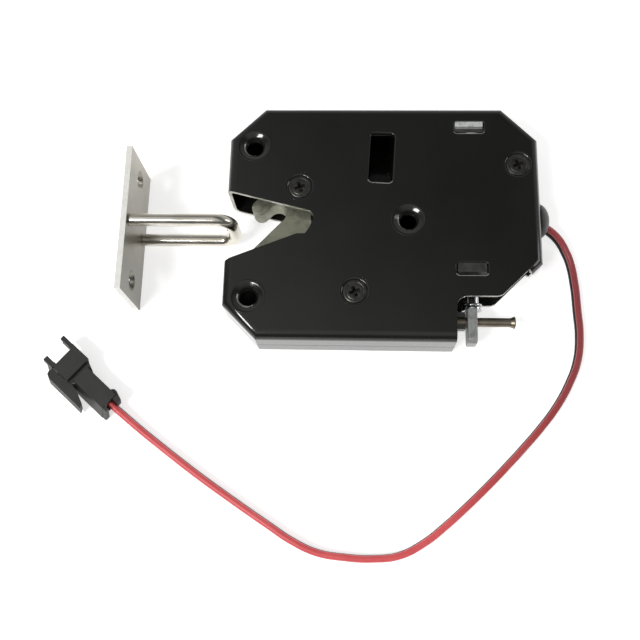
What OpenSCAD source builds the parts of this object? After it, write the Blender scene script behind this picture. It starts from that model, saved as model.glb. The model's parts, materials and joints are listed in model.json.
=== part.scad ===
/* [Case] */
// Width of the case, left wall to right wall
case_w = 80; // [78:0.5:90]
// Height of the case, bottom wall to top wall
case_h = 63; // [61:0.5:70]
// Thickness of the closed case, back face to front face
case_t = 14; // [13.6:0.2:18]
// Thickness of the steel sheet of both shells
sheet = 1; // [0.8:0.1:1.1]
// Outer radius of the folded edges
bend_r = 1.3; // [1.2:0.1:2]
// Leg of the 45 degree cuts at the upper corners
corner_cut = 9; // [7:0.5:10]
// Leg of the cut at the lower left corner
low_cut = 8.5; // [7:0.5:10]
// Width of the cut-out for the release, from the right wall
notch_w = 21.7; // [20:0.1:23]
// Height of the cut-out for the release, from the bottom wall
notch_h = 11.4; // [10:0.1:12]
// Radius of the inner corner of that cut-out
notch_r = 2.9; // [1:0.1:4]
// Height of the 45 degree cut between that cut-out and the right wall
rim_cut = 8.9; // [8:0.1:10]
// Radius where the cut-out meets that cut
rim_r = 3; // [2:0.1:4]
// Leg of the short fold at the right end of that cut, front shell
front_stub = 2.3; // [2:0.1:3]
// Leg of the short fold at the right end of that cut, back shell
back_stub = 4.2; // [3:0.1:5]
// Gap between the two shells along the side seam
seam_gap = 0.1; // [0.05:0.05:0.4]

/* [Mouth] */
// Height of the keeper's path above the middle of the case
keeper_y = -2; // [-4:0.25:0]
// Depth of the mouth from the left wall
mouth_depth = 22.4; // [20:0.2:24]
// Upper edge of the throat above the keeper's path
throat_up = 4.1; // [2.5:0.1:5]
// Lower edge of the throat below the keeper's path
throat_down = 2.1; // [2:0.1:3]
// Upper edge of the open mouth above the keeper's path
flare_up = 9.3; // [7:0.1:11]
// Lower edge of the open mouth below the keeper's path
flare_down = 9.1; // [8:0.1:12]
// Size of the rounded corners at the end of the throat
throat_round = 1.1; // [0.8:0.1:1.4]

/* [Face openings] */
// Width of the window in the front
window_w = 6.6; // [5:0.1:9]
// Height of the window in the front
window_h = 14.2; // [10:0.2:17]
// Middle of the window, left of the middle of the case
window_x = 0.3; // [-2:0.1:2]
// Middle of the window below the top wall
window_down = 14.5; // [12.5:0.1:17]
// Lean of the window to the right, in degrees
window_lean = 3; // [0:0.5:5]
// Height of the slots for the yoke's tabs
slot_h = 3.6; // [3.4:0.1:4]
// Corner radius of the window and of the tab slots
slot_r = 0.7; // [0.3:0.1:1]
// Core diameter of the drawn mounting holes
mount_d = 4.2; // [3.3:0.1:4.3]
// Outer diameter of the drawn funnel round a mounting hole
funnel_d = 6.8; // [6.6:0.1:8]
// Depth that a drawn hole reaches below the front face
draw_depth = 2.8; // [2.2:0.1:4]
// Distance of the two left mounting holes from the left wall
mount_side = 6.6; // [5.5:0.1:9]
// Distance of the upper left mounting hole from the top wall
mount_top = 11.3; // [10:0.1:14]
// Distance of the lower left mounting hole from the bottom wall
mount_low = 10.6; // [9.4:0.1:12]
// Distance of the middle mounting hole to the right of the middle
mount_mid_x = 6.6; // [5:0.2:8]
// Height of the middle mounting hole
mount_mid_y = -0.1; // [-3:0.1:3]

/* [Posts and screws] */
// Diameter of the fork's post
fork_post_d = 6; // [5:0.1:6.4]
// Diameter of the lever's post and of the rear post
post_d = 5; // [4.6:0.1:5.6]
// Diameter of the riveted foot of each post
foot_d = 3.6; // [3:0.1:4]
// Width of the ring-shaped shoulder round each post
shoulder_w = 1.6; // [1:0.1:2]
// Thread diameter of the cover screws
screw_d = 3; // [2.5:0.1:3.2]
// Head diameter of the cover screws
screw_head_d = 6; // [5.2:0.1:6.2]
// Length of a cover screw below the front face
screw_l = 7; // [5:0.5:9]
// Rear post, distance from the right wall
rear_post_side = 5.4; // [5:0.1:7]
// Rear post, distance from the top wall
rear_post_down = 16.3; // [13:0.1:19]
// Radial play of what turns on a post
run_gap = 0.06; // [0.03:0.01:0.1]

/* [Latch fork] */
// Distance of the fork's pivot from the left wall
fork_side = 18.8; // [18:0.2:20]
// Height of the fork's pivot above the keeper's path
fork_up = 10.7; // [10.2:0.1:11.2]
// Thickness of the fork
fork_t = 6.2; // [5:0.1:6.4]
// Width of the fork's slot
fork_slot_w = 4.8; // [4:0.1:5.2]
// Distance of the slot's closed end from the pivot
fork_slot_top = 6; // [5.6:0.1:8]
// Radius of the fork's tooth
tooth_r = 20; // [19:0.1:20.4]
// Height of the catch face of the tooth
tooth_h = 1.8; // [1.6:0.1:2]
// Width of the fork's finger
finger_w = 4.2; // [4:0.1:5.4]
// Reach of the fork's finger from the pivot line
finger_reach = 12.3; // [11:0.1:14]
// Radius of the fork's hub
fork_hub_r = 7; // [6:0.1:7.4]
// Turn of the fork from open to shut, in degrees
fork_swing = 43; // [40:0.5:45]

/* [Pawl lever] */
// Lever pivot, distance to the right of the fork's pivot
lever_right = 14.4; // [13:0.1:15]
// Lever pivot, distance above the bottom wall
lever_up = 12.25; // [11.9:0.05:12.8]
// Thickness of the lever
lever_t = 2.2; // [1.8:0.1:3]
// Radius of the lever's hub
lever_hub_r = 4.6; // [4:0.1:5.4]
// Half width of the lever's left arm at its end
lever_arm_r = 2.2; // [1.6:0.1:2.6]
// Width of the pawl nose
nose_w = 2.3; // [1.8:0.1:2.6]
// Clearance between the nose and the tooth's circle
nose_gap = 0.25; // [0.15:0.05:0.4]
// Width of the lever's tail
tail_w = 4.5; // [3.6:0.1:4.8]

/* [Release] */
// Distance of the release rod from the bottom wall
rod_up = 6.5; // [6:0.1:6.8]
// Diameter of the rod where it is joined to the lever
rod_root_d = 3; // [2.8:0.1:3.4]
// Diameter of the rod's free end
rod_d = 2.35; // [2:0.05:2.6]
// Distance of the rod's end from the right wall
rod_end_side = 6.5; // [5:0.1:8]
// Diameter of the flared end of the rod
flare_d = 3.1; // [2.8:0.1:3.4]
// Thickness of the pull tongue
tongue_t = 2.4; // [2:0.1:3]
// Width of the pull tongue, back to front
tongue_w = 5.5; // [4.5:0.1:7]
// Height of the pull tongue
tongue_h = 8.9; // [7:0.1:9.4]
// Offset of the tongue from the coil's axis, to the left
tongue_shift = 0.4; // [0:0.1:0.8]
// Play between the rod and its hole in the tongue
rod_play = 0.26; // [0.22:0.02:0.5]

/* [Solenoid] */
// Distance of the coil's axis from the right wall
coil_side = 17; // [16.6:0.1:18]
// Diameter of the plunger
plunger_d = 6; // [5:0.1:6.4]
// Diameter of the plunger's shaft
shaft_d = 3.2; // [2.8:0.1:3.6]
// Radial play of the plunger in its bobbin
plunger_gap = 0.08; // [0.04:0.01:0.1]
// Wall of the bobbin's tube
bobbin_wall = 0.7; // [0.5:0.1:1]
// Thickness of the bobbin's flanges
flange_t = 1; // [0.8:0.1:1.5]
// Outer diameter of the winding
winding_d = 10.6; // [9.5:0.1:11]
// Thickness of the yoke's steel
yoke_t = 2.5; // [2:0.1:2.8]
// Width of the yoke's tabs in the case slots
tab_w = 7.2; // [6:0.2:8]
// Play of the tabs in the case slots
tab_play = 0.45; // [0.2:0.05:0.6]
// Offset of the tabs from the coil's axis, to the left
tab_shift = 0.7; // [0:0.1:1.2]
// Thickness of the thinner upper tab
upper_tab_t = 1.5; // [1:0.1:2]
// Distance of the yoke's upper end from the top wall
yoke_down = 4.1; // [3.6:0.1:5]
// Height of the yoke's lower end above the cut-out for the release
yoke_up = 6.2; // [5.6:0.1:7]
// Length of the fixed core in the coil
core_l = 15.9; // [14:0.1:18]
// Air gap between the plunger and the fixed core at rest
air_gap = 1; // [0.9:0.1:1.6]

/* [Springs] */
// Wire diameter of the two torsion springs
spring_wire = 0.7; // [0.5:0.05:0.7]
// Gap between the turns of a torsion spring
spring_pitch_gap = 0.06; // [0.04:0.01:0.1]
// Turns of each torsion spring
spring_turns = 2; // [1:1:2]

/* [Cable] */
// Diameter of one insulated wire
wire_d = 1.7; // [1.3:0.1:1.7]
// Height of the cable grommet above the middle of the case
grommet_y = 2.2; // [1:0.2:3.4]
// Diameter of the grommet's dome
grommet_d = 9.4; // [8.4:0.2:10]
// Distance that the grommet stands out of the wall
grommet_out = 3.2; // [3:0.1:4.4]
// Diameter of the hole that holds the grommet
grommet_hole_d = 6.4; // [5.6:0.2:7]

/* [Connector] */
// Length of the connector housing with its guide prongs
plug_l = 21.4; // [20:0.2:24]
// Width of the connector's front hood
hood_w = 8; // [7.4:0.2:9]
// Height of the connector's front hood
hood_h = 6.4; // [6:0.2:7]
// Width of the connector's rear body
plug_body_w = 5.2; // [5:0.2:6]
// Length of the guide prongs
prong_l = 3.4; // [3:0.2:6]
// Wall of the front hood
hood_wall = 0.9; // [0.7:0.1:1]
// Distance between the two contacts
contact_pitch = 2.5; // [2.2:0.1:2.6]

/* [Strike] */
// Gap between the case and the strike's plate
strike_gap = 23.8; // [22:0.2:30]
// Length of the strike's plate
strike_l = 38; // [34:1:44]
// Width of the strike's plate
strike_w = 20; // [18.6:0.2:24]
// Thickness of the strike's plate
strike_t = 1.5; // [1.2:0.1:2]
// Diameter of the keeper bar
bar_d = 3.3; // [2.8:0.1:3.6]
// Reach of the keeper bar from the plate's face
bar_reach = 27.2; // [24:0.2:28]
// Distance between the two legs of the keeper bar
leg_pitch = 14.4; // [12:0.2:15]
// Centre line radius of the bends of the keeper bar
bar_bend_r = 4.2; // [3.4:0.2:5]
// Distance between the strike's screw holes
strike_pitch = 27.5; // [22:0.5:30]
// Diameter of the strike's screw holes
strike_hole_d = 3.6; // [3.2:0.1:4.2]
// Diameter of the countersink of the strike's screw holes
strike_sink_d = 5.6; // [5:0.1:6.2]

/* [Hidden] */
$fn = 48;
// Half sizes and the middle plane of the case
half_w = case_w / 2;
half_h = case_h / 2;
mid_z = case_t / 2;
inner_top = case_t - sheet;
// Ratio by which a 135 degree corner shortens an edge that moves inwards
corner_k = tan(22.5);
// Small overlap of cutting shapes
eps = 0.01;
// Overlap of a folded wall with its plate
lap = 0.05;
// Turning parts
fork_x = -half_w + fork_side;
fork_y = keeper_y + fork_up;
lever_x = fork_x + lever_right;
lever_y = -half_h + lever_up;
fork_z = mid_z - fork_t / 2;
lever_z = mid_z - lever_t / 2;
rest_gap = 0.1;
rear_x = half_w - rear_post_side;
rear_y = half_h - rear_post_down;
// Fork outline, in the frame of the shut fork
slot_side = 0.41 * fork_slot_w;
slot_mid = slot_side - fork_slot_w / 2;
finger_x = slot_side - fork_slot_w - finger_w / 2;
tooth_start = -acos(slot_side / tooth_r);
tooth_width = 12;
ramp_width = 4;
sector_end = -31;
relief_r = tooth_r - tooth_h;
// Lever outline, in the frame of its pivot
nose_right = slot_side - 1 - lever_right;
nose_top = fork_y - tooth_r - nose_gap - lever_y;
arm_end = [nose_right - nose_w / 2, nose_top - 4.7];
// Solenoid
coil_x = half_w - coil_side;
rod_y = -half_h + rod_up;
notch_x = half_w - notch_w;
notch_y = -half_h + notch_h;
rim_y = notch_y + rim_cut;
yoke_top = half_h - yoke_down;
yoke_low = notch_y + yoke_up;
coil_top = yoke_top - yoke_t;
coil_low = yoke_low + yoke_t;
tab_x = coil_x - tab_shift;
bore_r = plunger_d / 2 + plunger_gap;
plunger_top = coil_top - core_l - air_gap;
plunger_low = coil_low - 5.6;
tongue_x = coil_x - tongue_shift;
tongue_top = rod_y + 0.33 * tongue_h;
washer_t = 0.8;
clip_t = 0.5;
clip_gap = 0.2;
clip_low = tongue_top + washer_t + clip_gap;
groove_d = shaft_d - 0.6;
shaft_root = 5;
tail_end = tongue_x - tongue_t / 2 - 0.4;
tail_level = rod_y - lever_y - tail_w / 2 + 0.15;
rod_root_l = 8;
bobbin_r = mid_z - sheet - 0.3;
yoke_left = 8.2;
yoke_right = 7.4;
// Springs
coil_gap = 0.3;
spring_seat = 0.2;
fork_leg = fork_hub_r + 2;
fork_hook = fork_hub_r - 1;
lever_leg = lever_hub_r + 2.4;
lever_hook = lever_hub_r + 1.4;
// Strike
strike_x = -half_w - strike_gap;
strike_z = strike_w / 2;
// Connector place and direction on the surface
plug_pos = [-67.44, -46.98, 0];
plug_turn = 139;
// Lay of the pair: the black wire lies below the red one, towards the inside of the loop
pair_side = 0.15;
pair_rise = 1.74;
// Route of the black wire from the grommet to the connector
wire_route = [
    [41.5, 1, 5.16], [42.8, 0.6, 4.62], [44.3, -0.2, 3.95], [45.6, -1.2, 3.29],
    [46.8, -2.5, 2.61], [47.9, -4.3, 1.92], [49, -6.7, 1.27], [50.1, -13.4, 0.95],
    [50.4, -20, 0.95], [50.6, -26.8, 0.95], [49.7, -33.4, 0.95], [47.2, -39.6, 0.95],
    [43.8, -45.4, 0.95], [39.7, -50.7, 0.95], [35.2, -55.8, 0.95], [30.6, -60.7, 0.95],
    [25.9, -65.5, 0.95], [20.9, -70.3, 0.95], [15.9, -74.8, 0.95], [10.7, -78.9, 0.95],
    [4.7, -82, 0.95], [-1.8, -83, 0.95], [-8.7, -82.8, 0.95], [-15.3, -81.7, 0.95],
    [-21.4, -79.1, 0.95], [-27.1, -75.6, 0.95], [-32.8, -72, 0.95], [-38.5, -68.3, 0.95],
    [-44.1, -64.6, 0.95], [-49.7, -60.7, 0.95], [-55.1, -56.8, 0.95], [-60.5, -52.8, 1.12],
    [-65.7, -48.7, 1.42], [-67.7, -47.1, 1.58], [-69.6, -45.5, 1.77]];

// Points of an arc from angle a to angle b in n steps
function arc(x, y, r, a, b, n = 6) =
    [for (i = [0 : n]) [x + r * cos(a + (b - a) * i / n), y + r * sin(a + (b - a) * i / n)]];
// Direction of a route at each of its points
function unit(v) = v / norm(v);
function heading(p) =
    [for (i = [0 : len(p) - 1]) unit(p[min(i + 1, len(p) - 1)] - p[max(i - 1, 0)])];
function side_of(t) = unit(cross(t, [0, 0, 1]));
// Route of the red wire, beside and above the black one
function beside(p) =
    let (t = heading(p))
    [for (i = [0 : len(p) - 1]) p[i] - pair_side * side_of(t[i]) + [0, 0, pair_rise]];

module tube(p, d, sides = 8) {
    t = heading(p);
    n = len(p);
    rings = [for (i = [0 : n - 1]) let (s = side_of(t[i]), u = cross(s, t[i]))
        for (k = [0 : sides - 1]) p[i] + d / 2 * (cos(360 * k / sides) * s + sin(360 * k / sides) * u)];
    walls = [for (i = [0 : n - 2], k = [0 : sides - 1])
        let (a = i * sides + k, b = i * sides + (k + 1) % sides)
        each [[a, b + sides, b], [a, a + sides, b + sides]]];
    caps = [[for (k = [0 : sides - 1]) k], [for (k = [0 : sides - 1]) n * sides - 1 - k]];
    polyhedron(rings, concat(walls, caps));
}

// Outline of a case plate, moved inwards by e along its folded edges
module case_outline(e) {
    c = corner_cut + e * corner_k;
    low = low_cut + e * corner_k;
    throat_x = -half_w + mouth_depth;
    rim_end = rim_y + e * corner_k;
    upper_wall = keeper_y + flare_up + 0.4;
    polygon(concat(
        [[-half_w + e, keeper_y - flare_down + 0.25], [-half_w + e, -half_h + low],
         [-half_w + low, -half_h + e], [notch_x, -half_h + e]],
        arc(notch_x + notch_r, notch_y - notch_r, notch_r, 180, 90),
        arc(half_w - e - rim_end + notch_y - rim_r * corner_k, notch_y + rim_r, rim_r, -90, -45),
        [[half_w - e, rim_end], [half_w - e, half_h - c], [half_w - c, half_h - e],
         [-half_w + c, half_h - e], [-half_w + e, half_h - c],
         [-half_w + e, upper_wall], [-half_w + 1.6, upper_wall - 0.55],
         [throat_x - 0.8, keeper_y + throat_up], [throat_x, keeper_y + throat_up - throat_round],
         [throat_x - 0.2, keeper_y + 1.2], [throat_x - throat_round, keeper_y - 0.7],
         [throat_x - 2, keeper_y - throat_down], [throat_x - 4.1, keeper_y - throat_down]]));
}

// Folded edge along a straight line, with the wall's outer face on that line
module folded_edge(p, q, depth) {
    profile = concat([[bend_r + lap, 0]], arc(bend_r, bend_r, bend_r, 270, 180),
        [[0, depth], [sheet, depth]],
        arc(bend_r, bend_r, bend_r - sheet, 180, 270), [[bend_r + lap, sheet]]);
    translate([p[0], p[1], 0])
        rotate([0, 0, atan2(q[1] - p[1], q[0] - p[0])])
            rotate([90, 0, 90])
                linear_extrude(norm(q - p)) polygon(profile);
}

// Fold along a 45 degree corner, shortened at both ends
module folded_corner(p, q, depth) {
    trim = bend_r * corner_k * unit(q - p);
    folded_edge(p + trim, q - trim, depth);
}

// Walls of one shell, each a separate fold with a small gap at the corners
module folded_walls(depth, stub) {
    c = corner_cut + bend_r * corner_k;
    low = low_cut + bend_r * corner_k;
    folded_edge([-half_w, half_h - c], [-half_w, keeper_y + flare_up + 0.4], depth);
    folded_edge([-half_w, keeper_y - flare_down - 0.4], [-half_w, -half_h + low], depth);
    folded_corner([-half_w, -half_h + low_cut], [-half_w + low_cut, -half_h], depth);
    folded_edge([-half_w + low, -half_h], [notch_x, -half_h], depth);
    folded_corner([half_w - stub, rim_y - stub], [half_w, rim_y], depth);
    folded_edge([half_w, rim_y + bend_r * corner_k], [half_w, half_h - c], depth);
    folded_corner([half_w, half_h - corner_cut], [half_w - corner_cut, half_h], depth);
    folded_edge([half_w - c, half_h], [-half_w + c, half_h], depth);
    folded_corner([-half_w + corner_cut, half_h], [-half_w, half_h - corner_cut], depth);
}

module rounded_slot(w, h) {
    for (x = [-1, 1], y = [-1, 1])
        translate([x * (w / 2 - slot_r), y * (h / 2 - slot_r)]) circle(slot_r, $fn = 24);
    square([w, h - 2 * slot_r], center = true);
    square([w - 2 * slot_r, h], center = true);
}

// One shell with its plate on the ground and its walls rising, less what all shells share
module shell(stub) {
    difference() {
        union() {
            linear_extrude(sheet) case_outline(bend_r);
            folded_walls(mid_z - seam_gap / 2, stub);
        }
        for (y = [yoke_top - slot_h / 2 + 0.1, yoke_low + yoke_t / 2 - 0.4])
            translate([tab_x, y, -eps])
                linear_extrude(sheet + 2 * eps) rounded_slot(tab_w + 2 * tab_play, slot_h);
        translate([half_w - sheet - 1, grommet_y, mid_z])
            rotate([0, 90, 0]) cylinder(d = grommet_hole_d, h = sheet + 2);
    }
}

module at_mounts() {
    for (p = [[-half_w + mount_side, half_h - mount_top], [-half_w + mount_side, -half_h + mount_low],
              [mount_mid_x, mount_mid_y]])
        translate([p[0], p[1], 0]) children();
}

module at_posts() {
    for (p = [[fork_x, fork_y], [lever_x, lever_y], [rear_x, rear_y]])
        translate([p[0], p[1], 0]) children();
}

// Funnel drawn inwards round a tapped hole, as the sheet flows under the punch
module drawn_funnel() {
    core = mount_d / 2;
    outer = funnel_d / 2;
    rotate_extrude() polygon(concat(
        [[outer + eps, case_t - sheet], [outer + eps, case_t], [outer, case_t]],
        arc(outer, case_t - 1.2, 1.2, 100, 140, 3),
        [[core + 0.25, case_t - 1.2], [core, case_t - 1.5], [core, case_t - draw_depth],
         [core + 0.75, case_t - draw_depth], [core + 0.85, case_t - 1.9]]));
}

module front_case() color("#1d1e1e") {
    difference() {
        translate([0, 0, case_t]) mirror([0, 0, 1]) shell(front_stub);
        translate([-window_x, half_h - window_down, inner_top - eps]) rotate([0, 0, -window_lean])
            linear_extrude(sheet + 2 * eps) rounded_slot(window_w, window_h);
        at_mounts() translate([0, 0, inner_top - eps]) cylinder(d = funnel_d, h = sheet + 2 * eps);
        at_posts() translate([0, 0, inner_top - eps])
            cylinder(d1 = screw_d + 0.3, d2 = screw_head_d + 0.1, h = sheet + 2 * eps);
    }
    at_mounts() drawn_funnel();
}

module back_case() color("#1d1e1e") difference() {
    shell(back_stub);
    at_posts() translate([0, 0, -eps]) cylinder(d = foot_d, h = sheet + 2 * eps);
}

// Stepped post, riveted into the back shell and tapped for a cover screw
module post(d, seat) {
    difference() {
        rotate_extrude() polygon([[0, 0], [foot_d / 2, 0], [foot_d / 2, sheet], [d / 2 + shoulder_w, sheet],
            [d / 2 + shoulder_w, seat], [d / 2, seat], [d / 2, inner_top], [0, inner_top]]);
        translate([0, 0, case_t - screw_l - 0.5]) cylinder(d = screw_d, h = screw_l);
    }
}

module fork_post() color("#a7a89f") translate([fork_x, fork_y, 0]) post(fork_post_d, fork_z - rest_gap);

module lever_post() color("#a7a89f") translate([lever_x, lever_y, 0]) post(post_d, lever_z - rest_gap);

module rear_post() color("#a7a89f") translate([rear_x, rear_y, 0]) post(post_d, sheet + 1.5);

module cover_screws() color("#2a2b2b") at_posts() difference() {
    rotate_extrude() polygon([[0, case_t - screw_l], [screw_d / 2 - 0.4, case_t - screw_l],
        [screw_d / 2, case_t - screw_l + 0.4], [screw_d / 2, inner_top],
        [screw_head_d / 2, case_t - 0.05], [0, case_t - 0.05]]);
    for (a = [0, 90]) rotate([0, 0, a + 20])
        translate([-0.52 * screw_d, -0.14 * screw_d, case_t - 1.3]) cube([1.04 * screw_d, 0.28 * screw_d, 2]);
}

// Rotary fork, drawn shut with its slot pointing down, and turned to where it stands open
module latch_fork() color("#b3b29a") translate([fork_x, fork_y, fork_z]) rotate([0, 0, -fork_swing]) difference() {
    linear_extrude(fork_t) polygon(concat(
        arc(0, 0, fork_hub_r, sector_end + 8, 180, 18),
        [[finger_x - finger_w / 2, -3.5]],
        arc(finger_x, -finger_reach + finger_w / 2, finger_w / 2, 180, 360, 12),
        arc(slot_mid, -fork_slot_top - fork_slot_w / 2, fork_slot_w / 2, 180, 0, 12),
        arc(0, 0, tooth_r, tooth_start, tooth_start + tooth_width, 4),
        arc(0, 0, relief_r, tooth_start + tooth_width + ramp_width, sector_end - 3, 8),
        arc(0, 0, relief_r - 1, sector_end, sector_end, 1)));
    translate([0, 0, -1]) cylinder(d = fork_post_d + 2 * run_gap, h = fork_t + 2);
}

// Torsion spring, drawn as one wire from its fixed leg round the coil to its free leg
module torsion_spring(r, leg_a, leg_b, turn_a, turn_b) {
    steps = 14 * spring_turns;
    pitch = spring_wire + spring_pitch_gap;
    span = 360 * spring_turns + turn_b - turn_a;
    coil = [for (i = [0 : steps]) let (a = turn_a + span * i / steps)
        [r * cos(a), r * sin(a), pitch * span / 360 * i / steps]];
    first = coil[0] + leg_a * [sin(turn_a), -cos(turn_a), 0];
    last = coil[steps] + leg_b * [-sin(turn_b), cos(turn_b), 0];
    tube(concat([first], coil, [last]), spring_wire);
}

module fork_spring() color("#8f9093") translate([fork_x, fork_y, fork_z + fork_t + spring_wire / 2 + spring_seat])
    torsion_spring(fork_post_d / 2 + spring_wire / 2 + coil_gap, fork_leg, fork_hook, 60, 150);

// Lever with the pawl nose at its left end and the release rod at its right end
module pawl_lever() color("#9d9e98") translate([lever_x, lever_y, lever_z]) difference() {
    tail = tail_end - lever_x;
    neck = [tail - 6, tail_level + tail_w];
    neck_turn = atan(neck[1] / neck[0]) + acos(lever_hub_r / norm(neck));
    arm_turn = 180 + atan(arm_end[1] / arm_end[0]) + acos((lever_hub_r - lever_arm_r) / norm(arm_end));
    linear_extrude(lever_t) polygon(concat(
        arc(0, 0, lever_hub_r, neck_turn, 90, 4),
        [[nose_right, arm_end[1] + lever_arm_r], [nose_right, nose_top],
         [nose_right - nose_w + 0.9, nose_top], [nose_right - nose_w, nose_top - 0.9]],
        arc(arm_end[0], arm_end[1], lever_arm_r, 180 - acos(nose_w / 2 / lever_arm_r), arm_turn, 8),
        arc(0, 0, lever_hub_r, arm_turn, 270, 4),
        [[tail - 7, tail_level], [tail, tail_level], [tail, tail_level + tail_w], neck]));
    translate([0, 0, -1]) cylinder(d = post_d + 2 * run_gap, h = lever_t + 2);
    translate([tail - rod_root_l, rod_y - lever_y, lever_t / 2])
        rotate([0, 90, 0]) cylinder(d = rod_root_d, h = rod_root_l + 1);
}

module lever_spring() color("#8f9093") translate([lever_x, lever_y, lever_z + lever_t + spring_wire / 2 + spring_seat])
    torsion_spring(post_d / 2 + spring_wire / 2 + coil_gap, lever_leg, lever_hook, 30, 120);

module release_rod() color("#a59f92") translate([0, rod_y, mid_z]) rotate([0, 90, 0]) {
    end = half_w - rod_end_side;
    rotate_extrude() polygon([[0, tail_end - rod_root_l], [rod_root_d / 2, tail_end - rod_root_l],
        [rod_root_d / 2, tail_end + 0.1], [rod_d / 2, tail_end + 0.1], [rod_d / 2, end - 1.1],
        [flare_d / 2 - 0.1, end - 0.5], [flare_d / 2, end], [flare_d / 2 - 0.45, end],
        [rod_d / 2 - 0.5, end - 0.8], [rod_d / 2 - 0.5, end - 2.6], [0, end - 2.6]]);
}

// U-shaped yoke round the coil, with tabs that reach through both shells
module solenoid_yoke() color("#b9b7ae") {
    tall = 2 * bobbin_r;
    difference() {
        translate([0, 0, mid_z - tall / 2]) linear_extrude(tall) polygon(concat(
            [[coil_x + yoke_right, coil_low], [coil_x - yoke_left + yoke_t, coil_low],
             [coil_x - yoke_left + yoke_t, coil_top], [coil_x + yoke_right, coil_top],
             [coil_x + yoke_right, yoke_top]],
            arc(coil_x - yoke_left + yoke_t, coil_top, yoke_t, 90, 180),
            arc(coil_x - yoke_left + yoke_t, coil_low, yoke_t, 180, 270),
            [[coil_x + yoke_right, yoke_low]]));
        translate([coil_x, coil_low + 1, mid_z])
            rotate([90, 0, 0]) cylinder(d = plunger_d + 0.5, h = yoke_t + 2);
        translate([coil_x, yoke_top + 1, mid_z]) rotate([90, 0, 0]) cylinder(d = 4, h = yoke_t + 2);
    }
    for (z = [0.1, mid_z + tall / 2]) {
        translate([tab_x - tab_w / 2, yoke_low, z]) cube([tab_w, yoke_t, mid_z - tall / 2 - 0.1]);
        translate([tab_x - tab_w / 2, yoke_top - upper_tab_t, z]) cube([tab_w, upper_tab_t, mid_z - tall / 2 - 0.1]);
    }
}

// Turns a profile of radius and height round the coil's axis
module round_coil_axis() {
    translate([coil_x, 0, mid_z]) rotate([-90, 0, 0]) rotate_extrude() children();
}

module coil_bobbin() color("#e8e6dd") {
    low = coil_low + 0.05;
    high = coil_top - 0.05;
    round_coil_axis() polygon([[bore_r, low], [bobbin_r, low], [bobbin_r, low + flange_t],
        [bore_r + bobbin_wall, low + flange_t], [bore_r + bobbin_wall, high - flange_t],
        [bobbin_r, high - flange_t], [bobbin_r, high], [bore_r, high]]);
}

module coil_winding() color("#7a3f22") {
    low = coil_low + 0.05 + flange_t;
    high = coil_top - 0.05 - flange_t;
    round_coil_axis() translate([bore_r + bobbin_wall, low])
        square([winding_d / 2 - bore_r - bobbin_wall, high - low]);
}

module fixed_core() color("#b0b0aa") round_coil_axis()
    polygon([[0, plunger_top + air_gap], [plunger_d / 2, plunger_top + air_gap], [plunger_d / 2, coil_top],
        [2, coil_top], [2, yoke_top], [0, yoke_top]]);

module plunger() color("#c4c5c2") round_coil_axis()
    polygon([[0, plunger_low + shaft_root], [shaft_d / 2, plunger_low + shaft_root],
        [shaft_d / 2, plunger_low], [plunger_d / 2 - 0.4, plunger_low], [plunger_d / 2, plunger_low + 0.4],
        [plunger_d / 2, plunger_top - 0.5], [plunger_d / 2 - 0.5, plunger_top], [0, plunger_top]]);

module plunger_shaft() color("#d2d4d4") round_coil_axis()
    polygon([[0, tongue_top], [shaft_d / 2, tongue_top], [shaft_d / 2, clip_low], [groove_d / 2, clip_low],
        [groove_d / 2, clip_low + clip_t], [shaft_d / 2, clip_low + clip_t],
        [shaft_d / 2, plunger_low + shaft_root], [0, plunger_low + shaft_root]]);

module retaining_clip() color("#b8baba") difference() {
    round_coil_axis() translate([groove_d / 2, clip_low]) square([1.1, clip_t]);
    translate([coil_x - 4, clip_low - 1, mid_z - groove_d / 2 + 0.2]) cube([4, clip_t + 2, groove_d - 0.4]);
}

module stop_washer() color("#c6c8c8") round_coil_axis()
    translate([shaft_d / 2, tongue_top]) square([0.75, washer_t]);

module pull_tongue() color("#c3c6c5") difference() {
    cut = 0.9;
    translate([tongue_x - tongue_t / 2, tongue_top, mid_z]) rotate([90, 0, 90]) linear_extrude(tongue_t)
        polygon([[0, -tongue_w / 2], [0, tongue_w / 2], [-tongue_h + cut, tongue_w / 2],
            [-tongue_h, tongue_w / 2 - cut], [-tongue_h, -tongue_w / 2 + cut], [-tongue_h + cut, -tongue_w / 2]]);
    translate([tongue_x - tongue_t, rod_y, mid_z])
        rotate([0, 90, 0]) cylinder(d = rod_d + 2 * rod_play, h = 2 * tongue_t);
}

module coil_leads() color("#8c2020") {
    start = coil_x + winding_d / 2;
    end = half_w - sheet - 1.2;
    for (z = [-1, 1])
        tube([[start - 0.3, 7, mid_z + z], [start + 1.6, 6.9, mid_z + z], [(start + end) / 2, 5, mid_z + z],
            [end - 1.8, grommet_y + 0.2, mid_z + z], [end, grommet_y, mid_z + z]], wire_d);
}

module cable_grommet() color("#161616") translate([half_w, grommet_y, mid_z]) rotate([0, 90, 0])
    rotate_extrude() polygon(concat(
        [[0, -sheet - 1.2], [grommet_hole_d / 2 + 0.6, -sheet - 1.2], [grommet_hole_d / 2 + 0.9, -sheet],
         [grommet_hole_d / 2, -sheet], [grommet_hole_d / 2, 0], [grommet_d / 2, 0]],
        [for (a = [80 : -10 : 0]) [grommet_d / 2 * sin(a), grommet_out * cos(a)]]));

module red_wire() color("#d8232e") tube(beside(wire_route), wire_d);

module black_wire() color("#1a1a1a") tube(wire_route, wire_d);

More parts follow.
